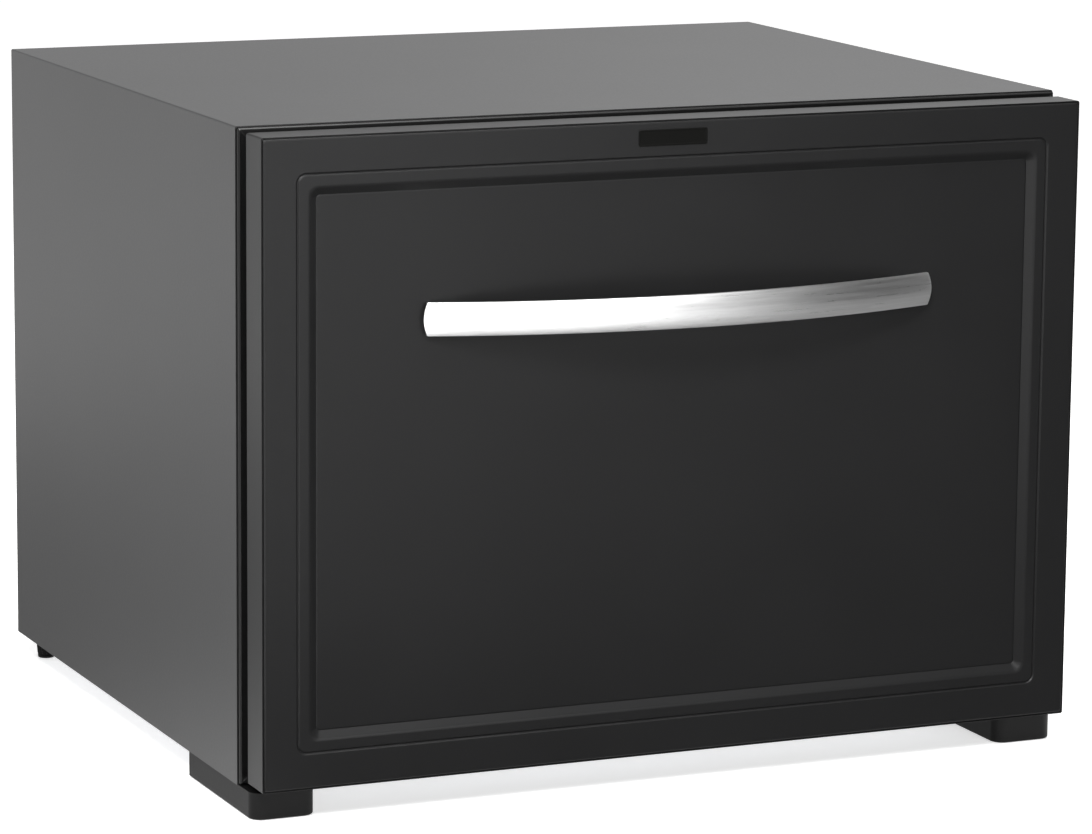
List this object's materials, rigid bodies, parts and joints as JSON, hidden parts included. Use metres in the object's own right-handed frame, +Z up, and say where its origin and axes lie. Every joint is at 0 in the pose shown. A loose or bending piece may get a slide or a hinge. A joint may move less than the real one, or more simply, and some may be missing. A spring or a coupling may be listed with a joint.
{
  "type": "drawer minibar cabinet",
  "caption": "Small hotel refrigerator built as one insulated drawer in a steel cabinet, with a bowed bar handle, telescopic slides and a sliding bottle divider.",
  "frame": {"origin": "middle of the overall box at floor level, under the feet", "axes": "+X to the right seen from the front, +Y from the drawer front to the back, +Z up"},
  "size_m": [0.56, 0.5217, 0.425],
  "materials": {
    "shell_paint": "satin",
    "cover_paint": "satin",
    "base_zinc": "satin",
    "foam": "matte",
    "liner_plastic": "satin",
    "frame_plastic": "satin",
    "front_plastic": "satin",
    "gasket_rubber": "matte",
    "foot_plastic": "satin",
    "handle_metal": "satin",
    "badge_black": "gloss",
    "bin_plastic": "satin",
    "divider_plastic": "satin",
    "heat_aluminium": "satin",
    "module_ceramic": "matte",
    "fan_plastic": "matte",
    "supply_plastic": "matte",
    "inlet_plastic": "satin",
    "pin_brass": "satin",
    "lens_clear": "gloss",
    "knob_plastic": "satin",
    "switch_plastic": "satin",
    "magnet_iron": "matte",
    "screw_steel": "satin",
    "slide_zinc": "satin",
    "cage_steel": "satin",
    "ball_steel": "polished"
  },
  "bodies": {
    "cabinet": {"back_cover": "cover_paint", "base_plate": "base_zinc", "cabinet_shell": "shell_paint", "clamp_screws": "screw_steel", "cold_block": "heat_aluminium", "cold_hood": "liner_plastic", "cold_sink": "heat_aluminium", "cover_screws": "screw_steel", "fan_screws": "screw_steel", "foot_screws": "screw_steel", "front_foot_left": "foot_plastic", "front_foot_right": "foot_plastic", "front_frame": "frame_plastic", "hot_fan_frame": "fan_plastic", "hot_sink": "heat_aluminium", "inlet_pins": "pin_brass", "inner_liner": "liner_plastic", "insulation_foam": "foam", "lamp_housing": "liner_plastic", "lamp_lens": "lens_clear", "peltier_module": "module_ceramic", "power_inlet": "inlet_plastic", "power_supply": "supply_plastic", "rear_bulkhead": "base_zinc", "rear_feet": "foot_plastic", "reed_switch": "switch_plastic", "slide_outer_left": "slide_zinc", "slide_outer_right": "slide_zinc", "slide_outer_screws": "screw_steel"},
    "drawer": {"drawer_front_panel": "front_plastic", "drawer_front_foam": "foam", "drawer_inner_panel": "liner_plastic", "drawer_gasket": "gasket_rubber", "handle_strap": "handle_metal", "handle_posts": "handle_metal", "handle_screws": "screw_steel", "badge_plate": "badge_black", "drawer_bin": "bin_plastic", "drawer_bracket_left": "slide_zinc", "drawer_bracket_right": "slide_zinc", "bracket_screws": "screw_steel", "slide_inner_left": "slide_zinc", "slide_inner_right": "slide_zinc", "slide_inner_screws": "screw_steel", "reed_magnet": "magnet_iron"},
    "divider": {"bottle_divider": "divider_plastic"},
    "slide_middle_left": {"slide_middle_left": "slide_zinc"},
    "slide_middle_right": {"slide_middle_right": "slide_zinc"},
    "outer_cage_left": {"outer_cage_left": "cage_steel", "outer_balls_left": "ball_steel"},
    "outer_cage_right": {"outer_cage_right": "cage_steel", "outer_balls_right": "ball_steel"},
    "inner_cage_left": {"inner_cage_left": "cage_steel", "inner_balls_left": "ball_steel"},
    "inner_cage_right": {"inner_cage_right": "cage_steel", "inner_balls_right": "ball_steel"},
    "fan_rotor": {"hot_fan_rotor": "fan_plastic"},
    "knob": {"thermostat_knob": "knob_plastic"}
  },
  "joints": [
    {"name": "drawer_pull", "type": "slide", "parent": "cabinet", "child": "drawer", "axis": [0, -1, 0], "range_m": [0, 0.3]},
    {"name": "slide_middle_left_run", "type": "slide", "parent": "cabinet", "child": "slide_middle_left", "axis": [0, -1, 0], "range_m": [0, 0.15]},
    {"name": "outer_cage_left_run", "type": "slide", "parent": "cabinet", "child": "outer_cage_left", "axis": [0, -1, 0], "range_m": [0, 0.075]},
    {"name": "inner_cage_left_run", "type": "slide", "parent": "cabinet", "child": "inner_cage_left", "axis": [0, -1, 0], "range_m": [0, 0.225]},
    {"name": "slide_middle_right_run", "type": "slide", "parent": "cabinet", "child": "slide_middle_right", "axis": [0, -1, 0], "range_m": [0, 0.15]},
    {"name": "outer_cage_right_run", "type": "slide", "parent": "cabinet", "child": "outer_cage_right", "axis": [0, -1, 0], "range_m": [0, 0.075]},
    {"name": "inner_cage_right_run", "type": "slide", "parent": "cabinet", "child": "inner_cage_right", "axis": [0, -1, 0], "range_m": [0, 0.225]},
    {"name": "divider_shift", "type": "slide", "parent": "drawer", "child": "divider", "axis": [1, 0, 0], "range_m": [-0.19, 0.19]},
    {"name": "fan_spin", "type": "hinge", "parent": "cabinet", "child": "fan_rotor", "pos_m": [0, 0.2238, 0.267], "axis": [0, 1, 0], "continuous": true},
    {"name": "knob_turn", "type": "hinge", "parent": "cabinet", "child": "knob", "pos_m": [0.05, -0.14615, 0.372], "axis": [0, 0, -1], "range_deg": [-135, 135]}
  ],
  "couplings": [
    {"joint": "slide_middle_left_run", "follows": "drawer_pull", "ratio": 0.5},
    {"joint": "outer_cage_left_run", "follows": "drawer_pull", "ratio": 0.25},
    {"joint": "inner_cage_left_run", "follows": "drawer_pull", "ratio": 0.75},
    {"joint": "slide_middle_right_run", "follows": "drawer_pull", "ratio": 0.5},
    {"joint": "outer_cage_right_run", "follows": "drawer_pull", "ratio": 0.25},
    {"joint": "inner_cage_right_run", "follows": "drawer_pull", "ratio": 0.75}
  ]
}
